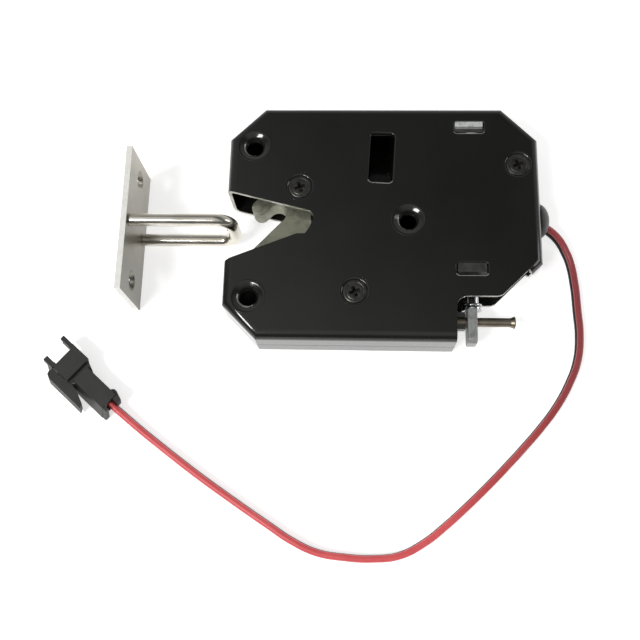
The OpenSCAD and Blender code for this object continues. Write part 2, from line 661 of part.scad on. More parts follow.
// Housing of the two-pole plug, lying on its side with the latch lever towards the front
module connector_housing() color("#1b1b1b") translate(plug_pos) rotate([0, 0, plug_turn]) {
    hood_front = plug_l - prong_l;
    hood_back = hood_front - 5.2;
    half_hood = hood_w / 2;
    half_body = plug_body_w / 2;
    low = 0.4;
    rear = 1.3;
    difference() {
        union() {
            translate([rear, -half_body, low]) cube([hood_back - rear + 1, plug_body_w, hood_h - 2 * low]);
            translate([-0.6, -half_body - 1, 2 * low]) cube([rear + 1.8, half_body + 1, hood_h - 4 * low]);
            translate([0, 0, low]) linear_extrude(hood_h - 2 * low)
                polygon([[hood_back - 3.6, -half_body], [hood_back, -half_hood], [hood_back + 1, 0],
                    [hood_back, half_hood], [hood_back - 2, half_hood - 0.6], [hood_back - 3.6, 0]]);
            translate([hood_back, -half_hood, 0]) cube([hood_front - hood_back, hood_w, hood_h]);
            for (y = [-half_hood, half_hood - 1.4])
                translate([hood_front - 1, y, 0.6]) cube([prong_l + 1, 1.4, hood_h - 0.6]);
        }
        translate([hood_back + 0.6, -half_hood + hood_wall, hood_wall])
            cube([plug_l, hood_w - 2 * hood_wall, hood_h - 2 * hood_wall]);
        translate([hood_front - 1.4, -half_hood + 1.4, hood_h / 2]) cube([plug_l, hood_w - 2.8, hood_h]);
    }
    translate([0, 0, 1.4]) linear_extrude(hood_h - 2.8) polygon([[5.7, half_hood + 1.5],
        [7, half_hood + 0.4], [9, half_hood - 0.1], [hood_back - 2, half_hood - 0.7], [hood_back, half_hood - 0.1],
        [hood_front, half_hood - 0.1], [hood_front + 0.6, half_hood + 0.8], [hood_front + 0.6, half_hood + 2.4],
        [hood_front - 0.6, half_hood + 3.3], [6.4, half_hood + 3.1], [5.7, half_hood + 2.7]]);
}

module connector_pins() color("#c8a75a") translate(plug_pos) rotate([0, 0, plug_turn])
    for (z = [-1, 1])
        translate([plug_l - prong_l - 5.6, -0.32, hood_h / 2 + z * contact_pitch / 2 - 0.32]) cube([4.6, 0.64, 0.64]);

module strike_plate() color("#b9b6ac") difference() {
    translate([strike_x - strike_t, keeper_y - strike_l / 2, 0]) cube([strike_t, strike_l, strike_w]);
    for (s = [-1, 1]) translate([strike_x, keeper_y + s * strike_pitch / 2, strike_z]) rotate([0, 90, 0]) {
        translate([0, 0, -strike_t - 1]) cylinder(d = strike_hole_d, h = strike_t + 2);
        translate([0, 0, (strike_hole_d - strike_sink_d) / 2])
            cylinder(d1 = strike_hole_d, d2 = strike_sink_d + 2 * eps, h = (strike_sink_d - strike_hole_d) / 2 + eps);
    }
    for (s = [-1, 1]) translate([strike_x - strike_t - 1, keeper_y, strike_z + s * leg_pitch / 2])
        rotate([0, 90, 0]) cylinder(d = bar_d, h = strike_t + 2);
}

// Keeper bar, bent from one round rod and riveted into the strike's plate
module keeper_bar() color("#c2beb2") translate([strike_x, keeper_y, strike_z]) {
    bend_x = bar_reach - bar_d / 2 - bar_bend_r;
    bend_z = leg_pitch / 2 - bar_bend_r;
    for (s = [-1, 1]) {
        translate([-strike_t, 0, s * leg_pitch / 2]) rotate([0, 90, 0]) cylinder(d = bar_d, h = bend_x + strike_t);
        translate([bend_x, 0, s * bend_z]) rotate([90, 0, 0])
            rotate_extrude(angle = s * 90) translate([bar_bend_r, 0]) circle(d = bar_d);
    }
    translate([bend_x + bar_bend_r, 0, -bend_z]) cylinder(d = bar_d, h = 2 * bend_z);
}

front_case();
back_case();
fork_post();
lever_post();
rear_post();
cover_screws();
latch_fork();
fork_spring();
pawl_lever();
lever_spring();
release_rod();
solenoid_yoke();
coil_bobbin();
coil_winding();
fixed_core();
plunger();
plunger_shaft();
retaining_clip();
stop_washer();
pull_tongue();
coil_leads();
cable_grommet();
red_wire();
black_wire();
connector_housing();
connector_pins();
strike_plate();
keeper_bar();
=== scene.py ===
import json
import math
import bmesh
import bpy
from mathutils import Matrix, Vector


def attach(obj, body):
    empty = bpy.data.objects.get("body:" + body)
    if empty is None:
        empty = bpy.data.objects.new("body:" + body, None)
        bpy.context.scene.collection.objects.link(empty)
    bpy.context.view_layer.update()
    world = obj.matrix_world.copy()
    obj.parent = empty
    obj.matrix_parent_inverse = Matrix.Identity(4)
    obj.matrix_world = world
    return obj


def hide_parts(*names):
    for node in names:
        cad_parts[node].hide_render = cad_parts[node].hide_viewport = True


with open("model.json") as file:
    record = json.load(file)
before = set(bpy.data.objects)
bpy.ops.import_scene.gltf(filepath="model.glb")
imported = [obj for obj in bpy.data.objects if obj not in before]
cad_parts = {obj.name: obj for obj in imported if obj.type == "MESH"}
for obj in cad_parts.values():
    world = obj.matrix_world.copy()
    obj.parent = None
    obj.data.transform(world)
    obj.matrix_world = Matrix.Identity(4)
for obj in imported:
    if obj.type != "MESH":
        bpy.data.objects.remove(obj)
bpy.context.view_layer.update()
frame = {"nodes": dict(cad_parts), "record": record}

mm = 0.001
bodyOf = {node: body for body, nodes in frame["record"]["behaviour"]["bodies"].items() for node in nodes}
print("frame loaded:", len(frame["nodes"]), "nodes")

# The camera looks down on the lying lock, from a little below its lower wall
cameraView = {
    "place": (-0.006098, -0.081985, 0.214437),  # m
    "turn": (15.438, 2.2406, 1.3284),  # degrees
    "lens": 47.706,  # mm, on a sensor 36 mm wide
}
camData = bpy.data.cameras.new("photoCamera")
camData.lens = cameraView["lens"]
camData.sensor_width = 36
camData.clip_start = 0.005
camera = bpy.data.objects.new("photoCamera", camData)
camera.location = cameraView["place"]
camera.rotation_euler = [math.radians(a) for a in cameraView["turn"]]
bpy.context.scene.collection.objects.link(camera)
bpy.context.scene.camera = camera

# The lead: a red and a black wire, the red one lying on the black one. All sizes are in mm.
leadPair = {
    "wireDiameter": 1.7,
    "sideOffset": 0.147,  # red wire towards the outside of the loop
    "rise": 1.74,  # red wire above the black one
    "length": 191.8,
    "route": [
        (41.5, 1, 5.16), (42.8, 0.6, 4.62), (44.3, -0.2, 3.95), (45.6, -1.2, 3.29),
        (46.8, -2.5, 2.61), (47.9, -4.3, 1.92), (49, -6.7, 1.27), (50.1, -13.4, 0.95),
        (50.4, -20, 0.95), (50.6, -26.8, 0.95), (49.7, -33.4, 0.95), (47.2, -39.6, 0.95),
        (43.8, -45.4, 0.95), (39.7, -50.7, 0.95), (35.2, -55.8, 0.95), (30.6, -60.7, 0.95),
        (25.9, -65.5, 0.95), (20.9, -70.3, 0.95), (15.9, -74.8, 0.95), (10.7, -78.9, 0.95),
        (4.7, -82, 0.95), (-1.8, -82.88, 0.95), (-8.7, -82.68, 0.95), (-15.3, -81.7, 0.95),
        (-21.4, -79.1, 0.95), (-27.1, -75.6, 0.95), (-32.8, -72, 0.95), (-38.5, -68.3, 0.95),
        (-44.1, -64.6, 0.95), (-49.7, -60.7, 0.95), (-55.1, -56.8, 0.95), (-60.5, -52.8, 1.12),
        (-65.7, -48.7, 1.42), (-67.7, -47.1, 1.58), (-69.6, -45.5, 1.77)],
}
blackRoute = [Vector(p) * mm for p in leadPair["route"]]
redRoute = []
for i, point in enumerate(blackRoute):
    heading = (blackRoute[min(i + 1, len(blackRoute) - 1)] - blackRoute[max(i - 1, 0)]).normalized()
    side = heading.cross(Vector((0, 0, 1))).normalized()
    redRoute.append(point - side * leadPair["sideOffset"] * mm + Vector((0, 0, leadPair["rise"] * mm)))


def wireCurve(name, route, node):
    data = bpy.data.curves.new(name, "CURVE")
    data.dimensions = "3D"
    data.bevel_depth = 1  # each knot's radius holds the thickness, in metres
    data.bevel_resolution = 6
    data.resolution_u = 8
    data.use_fill_caps = True
    line = data.splines.new("BEZIER")
    line.bezier_points.add(len(route) - 1)
    for knot, point in zip(line.bezier_points, route):
        knot.co = point
        knot.radius = leadPair["wireDiameter"] / 2 * mm
        knot.handle_left_type = knot.handle_right_type = "AUTO"
    wire = bpy.data.objects.new(name, data)
    bpy.context.scene.collection.objects.link(wire)
    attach(wire, bodyOf[node])
    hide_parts(node)
    return wire


redWire = wireCurve("redWire", redRoute, "red_wire")
blackWire = wireCurve("blackWire", blackRoute, "black_wire")
print("camera and lead")


# Helpers for finishes
def linear(hexColour):
    parts = [int(hexColour[i:i + 2], 16) / 255 for i in (1, 3, 5)]
    return tuple(v / 12.92 if v <= 0.04045 else ((v + 0.055) / 1.055) ** 2.4 for v in parts) + (1,)


# Adds one node: settings go to its inputs or its own options, links come from other sockets
def addNode(mat, kind, settings=None, links=None):
    node = mat.node_tree.nodes.new("ShaderNode" + kind)
    for key, value in (settings or {}).items():
        if isinstance(key, int) or key in node.inputs:
            node.inputs[key].default_value = value
        else:
            setattr(node, key, value)
    for key, socket in (links or {}).items():
        mat.node_tree.links.new(socket, node.inputs[key])
    return node


# A finish in object coordinates: two tones that drift, a grain that sets roughness and a fine relief.
# grain is the size of the grain along X, Y and Z in mm, cloud that of the drift of tone, relief its depth.
# A look may darken its tone along one axis as painted shade: the axis's number, where the darkening starts and
# ends in mm, and how much tone is left.
def newFinish(name, look):
    grainLow, grainHigh = 0.3, 0.7  # nearly all of the grain's noise lies between these
    cloudLow, cloudHigh = 0.35, 0.65
    paleShare = 0.7  # the most that the paler tone takes
    mat = bpy.data.materials.new(name)
    mat.use_nodes = True
    shader = mat.node_tree.nodes["Principled BSDF"]
    place = addNode(mat, "TexCoord").outputs["Object"]
    spread = addNode(mat, "Mapping", {"Scale": [1 / (s * mm) for s in look["grain"]]}, {"Vector": place})
    grain = addNode(mat, "TexNoise", {"Scale": 1, "Detail": 4, "Roughness": 0.6},
                    {"Vector": spread.outputs[0]})
    cloud = addNode(mat, "TexNoise", {"Scale": 1 / (look["cloud"] * mm), "Detail": 3}, {"Vector": place})
    drift = addNode(mat, "MapRange", {"From Min": cloudLow, "From Max": cloudHigh},
                    {"Value": cloud.outputs[0]})
    streak = addNode(mat, "MapRange", {"From Min": grainLow, "From Max": grainHigh,
                                       "To Max": look.get("streak", 0.5)}, {"Value": grain.outputs[0]})
    blend = addNode(mat, "Math", {"operation": "ADD", "use_clamp": True},
                    {0: drift.outputs[0], 1: streak.outputs[0]})
    share = addNode(mat, "Math", {"operation": "MULTIPLY", 1: paleShare}, {0: blend.outputs[0]})
    dark, pale = (linear(tone) for tone in look["tones"])
    tone = addNode(mat, "Mix", {"data_type": "RGBA", 6: dark, 7: pale}, {0: share.outputs[0]})
    # painted shade: the tone darkens along one axis
    if "paintedShade" in look:
        axis, start, end, low = look["paintedShade"]
        run = addNode(mat, "SeparateXYZ", None, {0: place})
        dim = addNode(mat, "MapRange", {"From Min": start * mm, "From Max": end * mm, "To Min": low},
                      {"Value": run.outputs[axis]})
        tone = addNode(mat, "Mix", {"data_type": "RGBA", "blend_type": "MULTIPLY", 0: 1},
                       {6: tone.outputs[2], 7: dim.outputs[0]})
    smooth, coarse = look["roughness"]
    rough = addNode(mat, "MapRange", {"From Min": grainLow, "From Max": grainHigh, "To Min": smooth,
                                      "To Max": coarse}, {"Value": grain.outputs[0]})
    relief = addNode(mat, "Bump", {"Strength": look.get("strength", 0.5), "Distance": look["relief"] * mm},
                     {"Height": grain.outputs[0]})
    for socket, source in (("Base Color", tone.outputs[2]), ("Roughness", rough.outputs[0]),
                           ("Normal", relief.outputs[0])):
        mat.node_tree.links.new(source, shader.inputs[socket])
    shader.inputs["Metallic"].default_value = look.get("metallic", 0)
    for socket, value in look.get("sockets", {}).items():
        shader.inputs[socket].default_value = value
    return mat


# Lines, scratches and skins that are really 0.02 to 0.1 mm wide wouldn't show from the camera's place.
# They are drawn coarser, 0.2 to 0.8 mm wide, and each such finish says so.
finishes = {
    # Stoved enamel, semi-gloss black, on sheet: deep grey-black; its orange peel of about 0.9 mm is real
    "stovedBlackEnamel": {
        "tones": ("#171816", "#1f201d"), "grain": (0.9, 0.9, 0.9), "cloud": 22, "streak": 0.2,
        "roughness": (0.26, 0.36), "relief": 0.01, "strength": 0.35,
        "sockets": {"Coat Weight": 1, "Coat Roughness": 0.13, "Specular IOR Level": 0.03}},
    # Sheared edge of the sheet, where enamel stays thin: a pale broken line; its tear drawn coarser. It also
    # paints highlights on the lower lips of the window and slots and on one side of each drawn hole's rim
    "shearedEdgeAndGlint": {
        "tones": ("#8f8e88", "#d6d4cc"), "grain": (0.5, 0.5, 0.8), "cloud": 2.5, "streak": 0.6,
        "roughness": (0.25, 0.5), "relief": 0.05, "strength": 0.6, "metallic": 0.9},
    # Black oxide on screws, oiled: black with hard glints; its crystal skin drawn coarser
    "oiledBlackOxide": {
        "tones": ("#2f2f2d", "#4f4e4a"), "grain": (0.4, 0.4, 0.4), "cloud": 1.5,
        "roughness": (0.24, 0.4), "relief": 0.02, "metallic": 0.7},
    # Die-cast zinc, passivated: dull, a little green and yellow; its cast grain drawn coarser
    "castZinc": {
        "tones": ("#707264", "#a6a693"), "grain": (0.45, 0.45, 0.45), "cloud": 3,
        "roughness": (0.34, 0.56), "relief": 0.04, "metallic": 0.7},
    # Zinc-plated sheet, rolled: flat grey with faint rolling lines along Y, drawn coarser
    "rolledZinc": {
        "tones": ("#4c4e4b", "#70726f"), "grain": (0.25, 2.5, 0.25), "cloud": 4,
        "roughness": (0.28, 0.46), "relief": 0.03, "metallic": 0.95},
    # The same zinc sheet drawn pale and dull, a lit copy of it that paints light on the yoke's upper tab, with
    # lines along Y drawn coarser
    "paintedLightZinc": {
        "tones": ("#a9aba8", "#f2f4f1"), "grain": (0.3, 1.4, 0.3), "cloud": 2, "streak": 0.8,
        "roughness": (0.36, 0.56), "relief": 0.06, "strength": 0.6, "metallic": 0.4},
    # Zinc-plated lug, tumbled: middle grey, dull, with short scratches, drawn coarser
    "tumbledZinc": {
        "tones": ("#7b7d7a", "#b8bab7"), "grain": (0.3, 1.4, 0.3), "cloud": 2, "streak": 0.8,
        "roughness": (0.34, 0.52), "relief": 0.05, "strength": 0.6, "metallic": 0.5},
    # Turned and plated steel: cool grey, tool marks in rings round Z, 0.2 mm apart and so drawn coarser
    "turnedSteel": {
        "tones": ("#8c8d88", "#b9bab4"), "grain": (2, 2, 0.2), "cloud": 3,
        "roughness": (0.25, 0.4), "relief": 0.02, "metallic": 1},
    # Drawn spring wire: dark and shiny, a little uneven; its drawn skin drawn coarser
    "drawnSpringSteel": {
        "tones": ("#6d6e70", "#97989a"), "grain": (0.6, 0.6, 0.6), "cloud": 3,
        "roughness": (0.22, 0.35), "relief": 0.01, "metallic": 1},
    # Drawn rod, nickel-plated: warm grey mirror with lines along X, drawn coarser
    "platedRod": {
        "tones": ("#766e61", "#988e80"), "grain": (3, 0.3, 0.3), "cloud": 4,
        "roughness": (0.3, 0.42), "relief": 0.01, "metallic": 0.9},
    # Ground steel: bright, near white where it meets the light; its grinding lines drawn coarser
    "groundSteel": {
        "tones": ("#c3c5c6", "#e2e3e3"), "grain": (0.3, 1.5, 0.3), "cloud": 3,
        "roughness": (0.14, 0.26), "relief": 0.008, "metallic": 1},
    # Natural nylon, moulded: milky and waxy; its moulded skin drawn coarser
    "mouldedNaturalNylon": {
        "tones": ("#d9d5c6", "#ece9de"), "grain": (0.6, 0.6, 0.6), "cloud": 5,
        "roughness": (0.4, 0.55), "relief": 0.01,
        "sockets": {"Subsurface Weight": 0.15, "Subsurface Scale": 0.001}},
    # Copper wire, enamelled: red brown with a lacquer gloss, streaked at half the wire's pitch
    "enamelledCopper": {
        "tones": ("#6e3218", "#a45a2c"), "grain": (1, 0.3, 1), "cloud": 3,
        "roughness": (0.25, 0.4), "relief": 0.01, "metallic": 0.7},
    # Soft PVC insulation, extruded, red: a milky, pinkish red, satin; darker towards the lock, which is
    # painted shade
    "extrudedRedVinyl": {
        "tones": ("#dd5559", "#ec6a6c"), "grain": (0.8, 0.8, 0.8), "cloud": 9, "streak": 0.3,
        "paintedShade": (0, 52, 16, 0.36), "roughness": (0.34, 0.46), "relief": 0.008,
        "sockets": {"Subsurface Weight": 0.12, "Subsurface Scale": 0.0008,
                    "Subsurface Radius": (1, 0.25, 0.2)}},
    # Soft PVC insulation, extruded, black: satin
    "extrudedBlackVinyl": {
        "tones": ("#0c0b0b", "#141212"), "grain": (0.8, 0.8, 0.8), "cloud": 9,
        "roughness": (0.36, 0.48), "relief": 0.008},
    # Moulded rubber: matt black, lighter at grazing angles from its bloom; its moulded skin drawn coarser
    "mouldedRubber": {
        "tones": ("#1c1d1c", "#2b2c2a"), "grain": (0.5, 0.5, 0.5), "cloud": 4,
        "roughness": (0.5, 0.66), "relief": 0.02,
        "sockets": {"Sheen Weight": 0.35, "Sheen Roughness": 0.5}},
    # Moulded black nylon: matt grey-black; its spark-eroded skin drawn coarser
    "mouldedBlackNylon": {
        "tones": ("#1d1e1c", "#2a2b28"), "grain": (0.35, 0.35, 0.35), "cloud": 4,
        "roughness": (0.42, 0.58), "relief": 0.02},
    # Stamped brass, tinned: pale yellow, soft gloss; its rolled grain drawn coarser
    "tinnedBrass": {
        "tones": ("#b8995a", "#d8c48a"), "grain": (0.4, 0.4, 0.4), "cloud": 2,
        "roughness": (0.24, 0.36), "relief": 0.01, "metallic": 1},
    # Drawn wire, bright nickel: pale warm mirror with faint lines along X, drawn coarser
    "drawnNickel": {
        "tones": ("#c6c1b4", "#e8e4da"), "grain": (4, 0.3, 0.3), "cloud": 10,
        "roughness": (0.16, 0.28), "relief": 0.01, "metallic": 1},
    # Nickel-plated strip, brushed along Y before plating: warm light grey, lines drawn coarser; darker towards
    # -Y, which is painted shade and a painted reflection of the lock's dark wall
    "brushedNickel": {
        "tones": ("#979388", "#b6b2a7"), "grain": (0.22, 4, 0.22), "cloud": 16, "paintedShade": (1, -18, 18, 0.5),
        "roughness": (0.26, 0.42), "relief": 0.03, "metallic": 1},
    # The same strip, sheared: near white and grainy; its tear drawn coarser
    "shearedNickel": {
        "tones": ("#eeebe2", "#fffefa"), "grain": (0.3, 0.3, 0.3), "cloud": 1.2, "streak": 0.8,
        "roughness": (0.4, 0.6), "relief": 0.08, "strength": 0.7, "metallic": 0.1},
}
made = {name: newFinish(name, look) for name, look in finishes.items()}
redWire.data.materials.append(made["extrudedRedVinyl"])
blackWire.data.materials.append(made["extrudedBlackVinyl"])
print("finishes:", len(made))

# Helpers for meshes. Points closer than these are taken as one, in mm; flat is in degrees.
welds = {"cad": 0.0005, "fold": 0.004, "sliver": 0.001, "flat": 0.8}


# A CAD node's own mesh, welded, with the triangles of each flat face joined
def meshOf(node):
    bm = bmesh.new()
    bm.from_mesh(frame["nodes"][node].data)
    bmesh.ops.remove_doubles(bm, verts=bm.verts, dist=welds["cad"] * mm)
    bmesh.ops.dissolve_limit(bm, angle_limit=math.radians(welds["flat"]), verts=bm.verts, edges=bm.edges)
    return bm


# Turns a profile of (radius, height) in mm round an axis through place
def turn(bm, profile, place, axis=(0, 0, 1), steps=48):
    facing = Vector((0, 0, 1)).rotation_difference(Vector(axis)).to_matrix().to_4x4()
    at = Matrix.Translation(Vector(place) * mm) @ facing
    rings = []
    for radius, height in profile:
        ring = []
        for k in range(steps if radius > 0 else 1):
            a = 2 * math.pi * k / steps
            point = Vector((radius * math.cos(a), radius * math.sin(a), height)) * mm
            ring.append(bm.verts.new(at @ point))
        rings.append(ring)
    pairs = list(zip(rings, rings[1:]))
    if len(rings[0]) > 1 and len(rings[-1]) > 1:
        pairs.append((rings[-1], rings[0]))
    for a, b in pairs:
        for k in range(steps):
            corners = [a[k % len(a)], a[(k + 1) % len(a)], b[(k + 1) % len(b)], b[k % len(b)]]
            corners = list(dict.fromkeys(corners))
            if len(corners) > 2:
                bm.faces.new(corners)


# Sweeps a round section along points in mm
def sweep(bm, points, radius, sides=16):
    line = [Vector(p) * mm for p in points]
    side = None
    rings = []
    for i, p in enumerate(line):
        ahead = (line[min(i + 1, len(line) - 1)] - line[max(i - 1, 0)]).normalized()
        if side is None:
            side = ahead.orthogonal().normalized()
        side = (side - ahead * side.dot(ahead)).normalized()
        up = ahead.cross(side)
        rings.append([bm.verts.new(p + radius * mm * (math.cos(2 * math.pi * k / sides) * side
                                                      + math.sin(2 * math.pi * k / sides) * up))
                      for k in range(sides)])
    for a, b in zip(rings, rings[1:]):
        for k in range(sides):
            bm.faces.new([a[k], a[(k + 1) % sides], b[(k + 1) % sides], b[k]])
    bm.faces.new(list(reversed(rings[0])))
    bm.faces.new(rings[-1])


# Raises an outline in mm from one level to another, in the frame of the matrix at
def prism(bm, outline, low, high, at=Matrix(), upper=None):
    rings = []
    for level, points in ((low, outline), (high, upper or outline)):
        rings.append([bm.verts.new(at @ (Vector((x, y, level)) * mm)) for x, y in points])
    bm.faces.new(list(reversed(rings[0])))
    bm.faces.new(rings[1])
    count = len(outline)
    for k in range(count):
        bm.faces.new([rings[0][k], rings[0][(k + 1) % count], rings[1][(k + 1) % count], rings[1][k]])


def rectangle(x0, y0, x1, y1):
    return [(x0, y0), (x1, y0), (x1, y1), (x0, y1)]


# Cuts one mesh with another, or joins them, and gives the result
def carve(bm, cutter, operation="DIFFERENCE"):
    solids = []
    for source in (bm, cutter):
        bmesh.ops.recalc_face_normals(source, faces=source.faces)
        data = bpy.data.meshes.new("blank")
        source.to_mesh(data)
        source.free()
        solid = bpy.data.objects.new("blank", data)
        bpy.context.scene.collection.objects.link(solid)
        solids.append(solid)
    cut = solids[0].modifiers.new("cut", "BOOLEAN")
    cut.object = solids[1]
    cut.operation = operation
    cut.solver = "EXACT"
    result = bmesh.new()
    result.from_mesh(solids[0].evaluated_get(bpy.context.evaluated_depsgraph_get()).to_mesh())
    for solid in solids:
        bpy.data.objects.remove(solid)
    return result


# Makes the piece: its edges rounded by edge mm, its finishes, its body and the node that it stands for
def finishPiece(name, bm, node, materials, edge=0):
    sharpFrom = 32  # degrees; flatter edges belong to a bend and stay
    flatWeight = 80  # keeps large faces flat in the light
    bmesh.ops.recalc_face_normals(bm, faces=bm.faces)
    mesh = bpy.data.meshes.new(name)
    bm.to_mesh(mesh)
    bm.free()
    mesh.shade_smooth()
    for material in materials:
        mesh.materials.append(made[material])
    piece = bpy.data.objects.new(name, mesh)
    bpy.context.scene.collection.objects.link(piece)
    if edge:
        rounding = piece.modifiers.new("roundedEdges", "BEVEL")
        rounding.width = edge * mm
        rounding.segments = 2
        rounding.limit_method = "ANGLE"
        rounding.angle_limit = math.radians(sharpFrom)
    evened = piece.modifiers.new("flatFaces", "WEIGHTED_NORMAL")
    evened.weight = flatWeight
    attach(piece, bodyOf[node])
    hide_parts(node)


# Case: two pressed shells with folded walls, drawn holes, screw seats and sheared edges. Sizes in mm.
caseShape = {
    "halfWidth": 40, "halfHeight": 31.5, "thickness": 14, "sheet": 1,
    "bendRadius": 2.2, "cornerCut": 9, "lowCut": 8.7, "seamGap": 0.1, "edge": 0.14,
    "mouth": {
        "low": -11.4, "high": 7.7,
        "lowSlope": -0.4, "highSlope": 0.3,  # mm along the wall per mm inwards
        "throat": [(-18.4, 2.1), (-17.6, 1), (-17.8, -0.8), (-18.7, -2.7), (-19.6, -4.1), (-21.7, -4.1)]},
    "release": {"x": 18.3, "y": -20.1, "rim": -11.2, "innerRadius": 2.9, "backRadius": 7.2, "rimRadius": 3,
                "rimInset": 1.3, "stubGap": 0.35},
    "backStep": 1.2,  # the back shell stands back at the release
    "stub": (2.7, 1.2),  # legs of the short slanted fold, at the plate and at the seam
    "mounts": [(-33.4, 20.2), (-33.4, -20.9), (6.6, -0.1)],
    "posts": [(-21.2, 8.7), (-6.8, -19.25), (34.6, 15.2)],
    "mountCut": 3.6, "seatCut": 1.5, "cutClear": 1,  # depths cleared for holes and seats, and room above them
    "postHole": {"radius": 1.8, "low": -0.5, "high": 1.5},
    "window": {"place": (-0.3, 17), "size": (6.1, 13.7), "lean": -3, "corner": 1.1, "roll": 0.45},
    "tabSlots": {"places": [(22.3, 25.7), (22.3, -13.05)], "size": (7.8, 3.3), "corner": 0.8, "roll": 0.32},
    "grommetHole": (2.2, 7, 3.2),  # y, z and radius
    # (radius, height over the face): the sheet flows into each drawn hole on one soft curve; M5 threads inside
    "drawnHole": [
        (4.5, 0), (4.15, -0.005), (3.95, -0.04), (3.78, -0.11), (3.45, -0.28), (3.1, -0.47), (2.75, -0.66),
        (2.56, -0.82), (2.44, -1.02), (2.38, -1.25), (2.12, -1.5), (2.12, -1.62), (2.32, -1.8), (2.12, -1.98),
        (2.12, -2.05), (2.32, -2.25), (2.12, -2.45), (2.15, -2.8), (2.9, -2.8), (3.0, -1.9), (3.2, -1.45),
        (3.7, -1.1), (4.5, -1)],
    "screwSeat": [
        (3.85, 0), (3.6, -0.012), (3.4, -0.05), (3.25, -0.13), (3.14, -0.26), (1.7, -1), (3.85, -1)],
    # a painted highlight on one side of each drawn hole's rim, in the pale edge steel: a ring, its depth, and
    # 60 degrees about a side
    "paintedRimGlint": {"radii": (2.38, 2.7), "depth": 1.2, "side": (-0.75, -0.66), "cosine": 0.5},
}
mitre = math.tan(math.radians(22.5))
top = caseShape["thickness"]


def arcPoints(x, y, r, start, end, count=8):
    angles = [math.radians(start + (end - start) * i / count) for i in range(count + 1)]
    return [(x + r * math.cos(a), y + r * math.sin(a)) for a in angles]


def roundedRectangle(width, height, r):
    points = []
    for sx, sy, start in ((1, -1, -90), (1, 1, 0), (-1, 1, 90), (-1, -1, 180)):
        points += arcPoints(sx * (width / 2 - r), sy * (height / 2 - r), r, start, start + 90, 6)
    return points


# A punch for a rounded opening: its edge in the sheet's face rolls over with the opening's own roll
def punch(bm, opening, face, outward, at):
    (width, height), r, roll = opening["size"], opening["corner"], opening["roll"]
    inside, outside = 1.5, 0.5  # how far it reaches below and above the face
    rolled = [math.radians(a) for a in (18, 36, 54, 72, 90)]
    levels = [-outward * inside, -outward * roll]
    levels += [-outward * roll * (1 - math.sin(a)) for a in rolled] + [outward * outside]
    spread = [0, 0] + [roll * (1 - math.cos(a)) for a in rolled] + [roll]
    rings = []
    for level, more in zip(levels, spread):
        outline = roundedRectangle(width + 2 * more, height + 2 * more, r + more)
        rings.append([bm.verts.new(at @ (Vector((x, y, face + level)) * mm)) for x, y in outline])
    count = len(rings[0])
    bm.faces.new(list(reversed(rings[0])))
    bm.faces.new(rings[-1])
    for step, (a, b) in enumerate(zip(rings, rings[1:])):
        for k in range(count):
            side = bm.faces.new([a[k], a[(k + 1) % count], b[(k + 1) % count], b[k]])
            middle = (outline[k][1] + outline[(k + 1) % count][1]) / 2
            if 0 < step <= len(rolled) and middle < -height / 2 + r / 3:
                side.material_index = 1  # the lower lip takes the pale edge steel: a painted highlight


def disc(bm, place, radius, low, high):
    turn(bm, [(0, low), (radius, low), (radius, high), (0, high)], (place[0], place[1], 0), steps=64)


